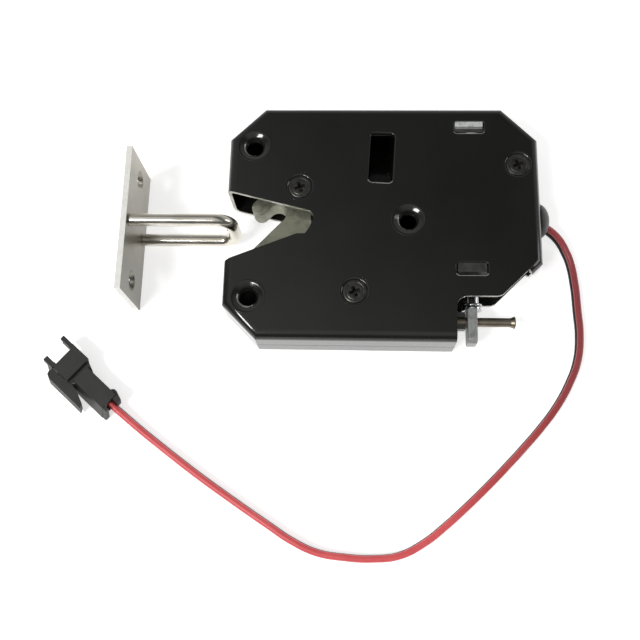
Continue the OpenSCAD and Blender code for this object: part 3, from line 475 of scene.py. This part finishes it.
# One shell as a single skin: its plate at depth 0 and each wall folded down from it
def pressShell(step, stubLegs, front):
    w, h, r, sheet = (caseShape[key] for key in ("halfWidth", "halfHeight", "bendRadius", "sheet"))
    deep = top / 2 - caseShape["seamGap"] / 2
    cut, low = caseShape["cornerCut"], caseShape["lowCut"]
    mouth, free = caseShape["mouth"], caseShape["release"]
    freeY, rim = free["y"] + step, free["rim"] + step
    inner = free["innerRadius"] if front else free["backRadius"]
    leg, legSeam = stubLegs
    lean = math.sqrt(2) * (leg - legSeam) / (deep - r)
    # Each fold: its start and end, how far these move along it per mm of inset,
    # and how far the start moves per mm of depth
    folds = [
        ((-w, mouth["low"]), (-w, -h + low), mouth["lowSlope"], -mitre, 0),
        ((-w, -h + low), (-w + low, -h), mitre, -mitre, 0),
        ((-w + low, -h), (free["x"], -h), mitre, 0, 0),
        ((w - leg, rim - leg), (w, rim), 0, -mitre, lean),
        ((w, rim), (w, h - cut), mitre, -mitre, 0),
        ((w, h - cut), (w - cut, h), mitre, -mitre, 0),
        ((w - cut, h), (-w + cut, h), mitre, -mitre, 0),
        ((-w + cut, h), (-w, h - cut), mitre, -mitre, 0),
        ((-w, h - cut), (-w, mouth["high"]), mitre, mouth["highSlope"], 0)]
    rawStarts, rawEnds = (0, 3), (2, 8)  # folds whose start or end is a sheared edge
    rawLine = w - rim - free["rimInset"] * math.sqrt(2)  # x - y on the sheared edge of the rim
    rawAt = free["rimRadius"]
    stubX = w - leg - free["stubGap"]
    # Sheared edges of the plate: the release's outline after fold 2, the mouth's after fold 8
    afterFold = {
        2: arcPoints(free["x"] + inner, freeY - inner, inner, 180, 90)
        + arcPoints(rawLine + freeY - rawAt * mitre, freeY + rawAt, rawAt, -90, -45)
        + [(stubX, stubX - rawLine)],
        8: mouth["throat"]}
    bend = [math.radians(a) for a in range(0, 91, 9)]
    profile = [(r * (1 - math.sin(a)), r * (1 - math.cos(a))) for a in bend] + [(0, deep), (sheet, deep)]
    profile += [(r - (r - sheet) * math.sin(a), r - (r - sheet) * math.cos(a)) for a in reversed(bend)]
    bm = bmesh.new()

    def corner(x, y, depth):
        return bm.verts.new(Vector((x, y, top - depth if front else depth)) * mm)

    plate, raw = [], []
    for index, (start, end, startSlope, endSlope, startLean) in enumerate(folds):
        along = (Vector(end) - Vector(start)).normalized()
        inward = Vector((-along.y, along.x))
        rows = []
        for inset, depth in profile:
            a = Vector(start) + inward * inset + along * (startSlope * inset + startLean * max(depth - r, 0))
            b = Vector(end) + inward * inset + along * (endSlope * inset)
            rows.append((corner(*a, depth), corner(*b, depth)))
            if (inset, depth) == profile[0]:
                plate += [tuple(a), tuple(b)]
        for one, two in zip(rows, rows[1:]):
            bm.faces.new([one[0], one[1], two[1], two[0]])
        if index in rawStarts:
            bm.faces.new([row[0] for row in rows]).material_index = 1
        if index in rawEnds:
            bm.faces.new([row[1] for row in rows]).material_index = 1
        if index in afterFold:
            raw.append((len(plate) - 1, len(plate) + len(afterFold[index])))
            plate += afterFold[index]
    upper = [corner(x, y, 0) for x, y in plate]
    lower = [corner(x, y, sheet) for x, y in plate]
    bm.faces.new(upper)
    bm.faces.new(list(reversed(lower)))
    for first, last in raw:
        for i in range(first, last):
            j = (i + 1) % len(plate)
            bm.faces.new([upper[i], upper[j], lower[j], lower[i]]).material_index = 1
    bmesh.ops.remove_doubles(bm, verts=bm.verts, dist=welds["fold"] * mm)
    bmesh.ops.dissolve_degenerate(bm, edges=bm.edges, dist=welds["sliver"] * mm)
    bmesh.ops.recalc_face_normals(bm, faces=bm.faces)
    cutter = bmesh.new()
    for x, y in caseShape["tabSlots"]["places"]:
        punch(cutter, caseShape["tabSlots"], top if front else 0, 1 if front else -1,
              Matrix.Translation(Vector((x, y, 0)) * mm))
    y, z, hole = caseShape["grommetHole"]
    turn(cutter, [(0, w - 2), (hole, w - 2), (hole, w + 1), (0, w + 1)], (0, y, z), axis=(1, 0, 0), steps=48)
    return carve(bm, cutter)


shell = pressShell(0, caseShape["stub"], True)
cutter = bmesh.new()
drawnHole, screwSeat, window = caseShape["drawnHole"], caseShape["screwSeat"], caseShape["window"]
for spot in caseShape["mounts"]:
    disc(cutter, spot, drawnHole[0][0], top - caseShape["mountCut"], top + caseShape["cutClear"])
for spot in caseShape["posts"]:
    disc(cutter, spot, screwSeat[0][0], top - caseShape["seatCut"], top + caseShape["cutClear"])
windowAt = Matrix.Translation(Vector((*window["place"], 0)) * mm)
punch(cutter, window, top, 1, windowAt @ Matrix.Rotation(math.radians(window["lean"]), 4, "Z"))
shell = carve(shell, cutter)
for spot in caseShape["mounts"]:
    turn(shell, [(r, top + z) for r, z in drawnHole], (*spot, 0), steps=64)
# painted highlight: faces in a ring on one side of each drawn hole's rim take the pale edge steel
paintedRimGlint = caseShape["paintedRimGlint"]
for face in shell.faces:
    centre = face.calc_center_median() / mm
    for x, y in caseShape["mounts"]:
        away = Vector((centre.x - x, centre.y - y))
        inRing = paintedRimGlint["radii"][0] < away.length < paintedRimGlint["radii"][1] and centre.z > top - paintedRimGlint["depth"]
        if inRing and away.normalized().dot(Vector(paintedRimGlint["side"])) > paintedRimGlint["cosine"]:
            face.material_index = 1
for spot in caseShape["posts"]:
    turn(shell, [(r, top + z) for r, z in screwSeat], (*spot, 0), steps=64)
shellFinishes = ["stovedBlackEnamel", "shearedEdgeAndGlint"]
finishPiece("frontShell", shell, "front_case", shellFinishes, edge=caseShape["edge"])

shell = pressShell(caseShape["backStep"], tuple(reversed(caseShape["stub"])), False)
cutter = bmesh.new()
postHole = caseShape["postHole"]
for spot in caseShape["posts"]:
    disc(cutter, spot, postHole["radius"], postHole["low"], postHole["high"])
finishPiece("backShell", carve(shell, cutter), "back_case", shellFinishes, edge=caseShape["edge"])
print("case")

# Cover screws: black oxide, cross recess, with a turned ring on the head
screwShape = {
    "recess": (1.6, 0.46), "recessFloor": (0.35, 0.2),  # length and half width of the cross's arms
    "recessDepth": 1.8, "recessClear": 0.3, "recessTurn": 20, "edge": 0.05,
    # (radius, height over the case's face)
    "profile": [
        (0, -0.02), (1.9, -0.03), (2.1, -0.06), (2.2, -0.13), (2.32, -0.13), (2.42, -0.07), (2.7, -0.1),
        (2.92, -0.2), (3, -0.34), (2.94, -0.46), (1.45, -1.1), (1.45, -6.5), (1.1, -6.95), (0, -6.95)],
}


# A cross: each of its four arms gives three corners
def crossOutline(length, width):
    points = []
    for x, y in ((1, 0), (0, 1), (-1, 0), (0, -1)):
        for along, across in ((length, -width), (length, width), (width, width)):
            points.append((x * along - y * across, y * along + x * across))
    return points


screws = bmesh.new()
cutter = bmesh.new()
for spot in caseShape["posts"]:
    turn(screws, [(r, top + z) for r, z in screwShape["profile"]], (*spot, 0), steps=48)
    turned = Matrix.Rotation(math.radians(screwShape["recessTurn"]), 4, "Z")
    prism(cutter, crossOutline(*screwShape["recessFloor"]), top - screwShape["recessDepth"],
          top + screwShape["recessClear"], Matrix.Translation(Vector((*spot, 0)) * mm) @ turned,
          crossOutline(*screwShape["recess"]))
screws = carve(screws, cutter)
finishPiece("coverScrews", screws, "cover_screws", ["oiledBlackOxide"], edge=screwShape["edge"])
print("cover screws")

# Rigid parts that keep the solids' shape: rounded edges and their own finish
plainParts = {
    # node: (piece, finish, edge radius in mm)
    "fork_post": ("forkPost", "turnedSteel", 0.1),
    "lever_post": ("leverPost", "turnedSteel", 0.1),
    "rear_post": ("rearPost", "turnedSteel", 0.1),
    "latch_fork": ("latchFork", "castZinc", 0.3),
    "pawl_lever": ("pawlLever", "rolledZinc", 0.15),
    "solenoid_yoke": ("solenoidYoke", "rolledZinc", 0.2),
    "coil_bobbin": ("coilBobbin", "mouldedNaturalNylon", 0.15),
    "fixed_core": ("fixedCore", "turnedSteel", 0.1),
    "plunger": ("coilPlunger", "turnedSteel", 0.1),
    "plunger_shaft": ("plungerShaft", "groundSteel", 0.12),
    "retaining_clip": ("retainingClip", "groundSteel", 0.06),
    "stop_washer": ("stopWasher", "groundSteel", 0.1),
    "pull_tongue": ("pullTongue", "tumbledZinc", 0.3),
    "connector_pins": ("connectorPins", "tinnedBrass", 0.08),
}
# The yoke's upper tab takes the paler copy of its zinc: painted light
paintedLightTab = {"node": "solenoid_yoke", "beyondY": 20, "aboveZ": 12.5}
for node, (name, finish, edge) in plainParts.items():
    copy = meshOf(node)
    finishNames = [finish]
    if node == paintedLightTab["node"]:
        finishNames.append("paintedLightZinc")
        for face in copy.faces:
            spot = face.calc_center_median() / mm
            if spot.y > paintedLightTab["beyondY"] and spot.z > paintedLightTab["aboveZ"]:
                face.material_index = 1
    finishPiece(name, copy, node, finishNames, edge=edge)
print("rigid parts:", len(plainParts))

# Torsion springs: one bent wire each, with straight legs. Angles are in degrees.
springs = {
    "fork_spring": {"piece": "forkSpring", "centre": (-21.2, 8.7, 10.65), "radius": 3.65, "legs": (9, 6),
                    "turn": (60, 150)},
    "lever_spring": {"piece": "leverSpring", "centre": (-6.8, -19.25, 8.65), "radius": 3.15, "legs": (7, 6),
                     "turn": (30, 120)},
}
springWire = {"radius": 0.35, "pitch": 0.76, "fullTurns": 720, "points": 90}  # two turns and a part
for node, spring in springs.items():
    start, end = spring["turn"]
    span = springWire["fullTurns"] + end - start
    coil = []
    for i in range(springWire["points"] + 1):
        a = math.radians(start + span * i / springWire["points"])
        rise = springWire["pitch"] * span / 360 * i / springWire["points"]
        coil.append(Vector(spring["centre"]) + Vector((spring["radius"] * math.cos(a),
                                                       spring["radius"] * math.sin(a), rise)))
    a, b = math.radians(start), math.radians(end)
    first = coil[0] + spring["legs"][0] * Vector((math.sin(a), -math.cos(a), 0))
    last = coil[-1] + spring["legs"][1] * Vector((-math.sin(b), math.cos(b), 0))
    wire = bmesh.new()
    sweep(wire, [first] + coil + [last], springWire["radius"], sides=12)
    finishPiece(spring["piece"], wire, node, ["drawnSpringSteel"])
print("springs:", len(springs))

# Coil: rows of enamelled wire on the bobbin, drawn thicker than the real wire so that the rows show
coilShape = {
    "axis": (23, 7), "outerRadius": 5.3, "innerRadius": 3.78, "low": -10.35, "high": 23.85, "wirePitch": 0.6,
    "wireRipple": ((0.02, 0.12), (0.25, 0.02), (0.5, 0), (0.75, 0.02)),  # share of the pitch, depth in mm
}
rows = int((coilShape["high"] - coilShape["low"]) / coilShape["wirePitch"])
pitch = (coilShape["high"] - coilShape["low"]) / rows
groove = coilShape["wireRipple"][0][1]
ripple = [(coilShape["innerRadius"], coilShape["low"])]
for row in range(rows):
    for share, depth in coilShape["wireRipple"]:
        ripple.append((coilShape["outerRadius"] - depth, coilShape["low"] + pitch * (row + share)))
ripple.append((coilShape["outerRadius"] - groove, coilShape["high"]))
ripple.append((coilShape["innerRadius"], coilShape["high"]))
winding = bmesh.new()
turn(winding, ripple, (coilShape["axis"][0], 0, coilShape["axis"][1]), axis=(0, 1, 0), steps=40)
finishPiece("coilWinding", winding, "coil_winding", ["enamelledCopper"])

# The coil's two leads run one over the other to the grommet, on smooth curves through these knots
coilLeadShape = {"knots": [(28, 7), (29.9, 6.9), (33.05, 5), (36, 2.4), (37.8, 2.2)], "offset": 1, "steps": 6}
leads = bmesh.new()
for side in (-coilLeadShape["offset"], coilLeadShape["offset"]):
    knots = [Vector((x, y, coilShape["axis"][1] + side)) for x, y in coilLeadShape["knots"]]
    path = []
    for i in range(len(knots) - 1):
        p0, p1, p2, p3 = knots[max(i - 1, 0)], knots[i], knots[i + 1], knots[min(i + 2, len(knots) - 1)]
        for s in range(coilLeadShape["steps"]):
            t = s / coilLeadShape["steps"]
            path.append(0.5 * (2 * p1 + (p2 - p0) * t + (2 * p0 - 5 * p1 + 4 * p2 - p3) * t ** 2
                               + (3 * p1 - p0 - 3 * p2 + p3) * t ** 3))
    sweep(leads, path + [knots[-1]], leadPair["wireDiameter"] / 2)
finishPiece("coilLeads", leads, "coil_leads", ["extrudedRedVinyl"])
print("coil")

# Release rod: drawn rod, hollow and flared at its free end
rodShape = {
    "y": -25, "z": 7,
    # (radius, x)
    "profile": [(0, 13), (1.35, 13), (1.5, 13.15), (1.5, 20.95), (1.4, 21.1), (1.175, 21.12), (1.175, 32.2),
                (1.24, 32.5), (1.42, 32.95), (1.53, 33.2), (1.55, 33.4), (1.46, 33.5), (1.2, 33.42),
                (0.98, 33.1), (0.76, 32.7), (0.7, 32.2), (0.68, 30.9), (0, 30.9)],
}
rod = bmesh.new()
turn(rod, rodShape["profile"], (0, rodShape["y"], rodShape["z"]), axis=(1, 0, 0), steps=40)
finishPiece("releaseRod", rod, "release_rod", ["platedRod"])

# Grommet: moulded rubber dome in the right wall
grommetShape = {
    "y": 2.2, "z": 7, "wall": 40, "radius": 4.7, "reach": 3.2,
    # (radius, x) of the part inside the wall
    "neck": [(0, 37.8), (3.6, 37.8), (3.95, 38.1), (4.05, 38.6), (3.9, 39), (3.2, 39), (3.2, 40),
             (4.55, 40.02), (4.7, 40.15)],
}
dome = list(grommetShape["neck"])
for angle in range(78, -1, -6):
    a = math.radians(angle)
    dome.append((grommetShape["radius"] * math.sin(a),
                 grommetShape["wall"] + grommetShape["reach"] * math.cos(a)))
grommet = bmesh.new()
turn(grommet, dome, (0, grommetShape["y"], grommetShape["z"]), axis=(1, 0, 0), steps=56)
finishPiece("cableGrommet", grommet, "cable_grommet", ["mouldedRubber"])
print("rod and grommet")

# Plug: moulded two-pole housing, lying on its side, its latch lever towards the front
plugShape = {
    "place": (-67.44, -46.98, 0), "turn": 139, "edge": 0.18,
    "height": 6, "lean": 0.3,  # it lies a little rolled over: its left walls show
    # hood and parts: lower outline, lowest and highest level, upper outline where it differs
    "hood": (rectangle(12.6, -4, 18.6, 3.5), 0.1, 6.4, None),
    "parts": [
        (rectangle(0.9, -2.75, 13.2, 2.8), 0.3, 5.7, rectangle(1, -2.45, 13.2, 2.3)),
        ([(9.4, -2.6), (12.7, -3.9), (12.7, 3.4), (11.6, 3.2), (11, 2.6)], 0.35, 5.1, None),
        (rectangle(18, -3.95, 21.9, -2.8), 3.2, 6.3, None),
        (rectangle(18, 2.55, 21.2, 3.85), 5, 6.3, None),
        (rectangle(16, 2.4, 20.2, 3.75), 1, 5.4, None),
        ([(-0.8, -2.5), (1.6, -3.3), (2.3, -3.3), (2.9, -2.8), (2.9, -1.2), (-0.8, -1.2)], 3, 5.3, None),
        (rectangle(-0.3, 1.3, 2.4, 2.7), 0.4, 5.5, rectangle(-0.3, 1.3, 2.4, 2.25)),
        ([(5.5, 5.9), (6.2, 4.7), (9.4, 3.4), (12.4, 2.9), (15, 3.2), (18.2, 3.3), (18.7, 4.5), (18.4, 5.4),
          (17.2, 5.9), (15.9, 5.9)], 1.2, 4.6, None)],
    # the socket, its open front, the two wire holes in steps, and the groove behind the hood
    "hollows": [
        (rectangle(13.4, -3.1, 30, 2.6), 0.9, 5.45), (rectangle(17.9, -2.7, 30, 2.45), 2.2, 8),
        (rectangle(-2, -2.1, 3.2, 1.2), 0.8, 2.9), (rectangle(-2, -1.1, 3.1, 0.9), 2.8, 4.8),
        ([(11.5, -3), (12.5, -3.5), (12.5, 3.2), (11.9, 3.2)], 5.05, 8)],
}
leaning = Matrix.Identity(4)
leaning[1][2] = -plugShape["lean"]
leaning[1][3] = plugShape["lean"] * plugShape["height"] * mm
turned = Matrix.Rotation(math.radians(plugShape["turn"]), 4, "Z")
plugAt = Matrix.Translation(Vector(plugShape["place"]) * mm) @ turned @ leaning
housing = bmesh.new()
outline, low, high, upper = plugShape["hood"]
prism(housing, outline, low, high, plugAt, upper)
for outline, low, high, upper in plugShape["parts"]:
    extra = bmesh.new()
    prism(extra, outline, low, high, plugAt, upper)
    housing = carve(housing, extra, "UNION")
for outline, low, high in plugShape["hollows"]:
    cutter = bmesh.new()
    prism(cutter, outline, low, high, plugAt)
    housing = carve(housing, cutter)
finishPiece("connectorHousing", housing, "connector_housing", ["mouldedBlackNylon"], edge=plugShape["edge"])
print("plug")

# Strike: plate with countersunk holes and a bent bar riveted into it
strikeShape = {
    "face": -63.8, "back": -65.3, "y": -2, "z": 10, "halfLength": 19, "width": 20, "edge": 0.14,
    "shearedBand": 0.1,  # faces this close to the outline are sheared edges
    "barRadius": 1.65, "legHalf": 7.2, "reach": 27.2, "bend": 4.2,
    "squareFor": 0.4,  # each leg stands square to the plate at least this far
}
plate = meshOf("strike_plate")
band = strikeShape["shearedBand"]
for face in plate.faces:
    centre = face.calc_center_median() / mm
    atEnd = abs(centre.y - strikeShape["y"]) > strikeShape["halfLength"] - band
    if atEnd or centre.z > strikeShape["width"] - band or centre.z < band:
        face.material_index = 1
finishPiece("strikePlate", plate, "strike_plate", ["brushedNickel", "shearedNickel"],
            edge=strikeShape["edge"])

bendX = strikeShape["face"] + strikeShape["reach"] - strikeShape["barRadius"] - strikeShape["bend"]
bendZ = strikeShape["legHalf"] - strikeShape["bend"]
barPath = [(strikeShape["back"], strikeShape["legHalf"]),
           (strikeShape["face"] + strikeShape["squareFor"], strikeShape["legHalf"])]
for angle in range(90, -1, -6):
    a = math.radians(angle)
    barPath.append((bendX + strikeShape["bend"] * math.cos(a), bendZ + strikeShape["bend"] * math.sin(a)))
barPath += [(x, -z) for x, z in reversed(barPath)]
bar = bmesh.new()
barPoints = [(x, strikeShape["y"], strikeShape["z"] + z) for x, z in barPath]
sweep(bar, barPoints, strikeShape["barRadius"], sides=36)
finishPiece("keeperBar", bar, "keeper_bar", ["drawnNickel"])
print("strike")

# Studio: a pale paper table that glows a little, soft panels and a grey sky
studio = {
    "tableSize": 6,  # m
    # Matt paper: near white and even, with no gloss
    "paper": {"tones": ("#f1f1f0", "#f4f4f3"), "grain": (4, 4, 4), "cloud": 60, "roughness": (0.8, 0.9),
              "relief": 0.01, "sockets": {"Emission Color": (1, 1, 1, 1), "Emission Strength": 0.64}},
    "skyLow": 0.18, "skyHigh": 0.09, "backdrop": 0.35, "overhead": 0.5,
    # name: (place in m, width and height in m, power in W)
    "panels": {
        "keyPanel": ((-0.47, -0.37, 0.8), (0.4, 0.14), 5.6),
        "rightPanel": ((0.7, 0.1, 0.35), (0.3, 0.3), 0.8)},
}
bpy.ops.mesh.primitive_plane_add(size=studio["tableSize"], location=(0, 0, 0))
table = bpy.context.object
table.name = "paleTable"
table.data.materials.append(newFinish("mattPaper", studio["paper"]))

world = bpy.data.worlds.new("studioSky")
world.use_nodes = True
background = world.node_tree.nodes["Background"]
direction = addNode(world, "TexCoord").outputs["Generated"]
east, north, up = addNode(world, "SeparateXYZ", None, {0: direction}).outputs
sky = addNode(world, "MapRange", {"From Min": 0, "From Max": 0.5, "To Min": studio["skyLow"],
                                  "To Max": studio["skyHigh"]}, {"Value": up})
# A pale backdrop rises beyond the far wall
beyond = addNode(world, "MapRange", {"interpolation_type": "SMOOTHSTEP", "From Min": -0.1, "From Max": 0.5,
                                     "To Max": studio["backdrop"]}, {"Value": north})
upright = addNode(world, "MapRange", {"interpolation_type": "SMOOTHSTEP", "From Min": 0.82, "From Max": 0.5},
                  {"Value": up})
backdrop = addNode(world, "Math", {"operation": "MULTIPLY"}, {0: beyond.outputs[0], 1: upright.outputs[0]})
# Overhead the sky is lighter towards the keeper's side
diagonal = addNode(world, "Math", {"operation": "ADD"}, {0: east, 1: north})
keeperSide = addNode(world, "MapRange", {"interpolation_type": "SMOOTHSTEP", "From Min": 0.55, "From Max": 0,
                                         "To Max": studio["overhead"]}, {"Value": diagonal.outputs[0]})
zenith = addNode(world, "MapRange", {"From Min": 0.6, "From Max": 0.9}, {"Value": up})
overhead = addNode(world, "Math", {"operation": "MULTIPLY"}, {0: keeperSide.outputs[0], 1: zenith.outputs[0]})
lowSky = addNode(world, "Math", {"operation": "ADD"}, {0: sky.outputs[0], 1: backdrop.outputs[0]})
wholeSky = addNode(world, "Math", {"operation": "ADD"}, {0: lowSky.outputs[0], 1: overhead.outputs[0]})
background.inputs[0].default_value = (1, 1, 1, 1)
world.node_tree.links.new(wholeSky.outputs[0], background.inputs[1])
bpy.context.scene.world = world
bpy.context.scene.view_settings.view_transform = "Standard"

for name, (place, size, power) in studio["panels"].items():
    light = bpy.data.lights.new(name, "AREA")
    light.shape = "RECTANGLE"
    light.size, light.size_y = size
    light.energy = power
    panel = bpy.data.objects.new(name, light)
    panel.location = place
    panel.rotation_euler = (-Vector(place)).to_track_quat("-Z", "Y").to_euler()
    bpy.context.scene.collection.objects.link(panel)
print("studio")

bpy.context.view_layer.update()
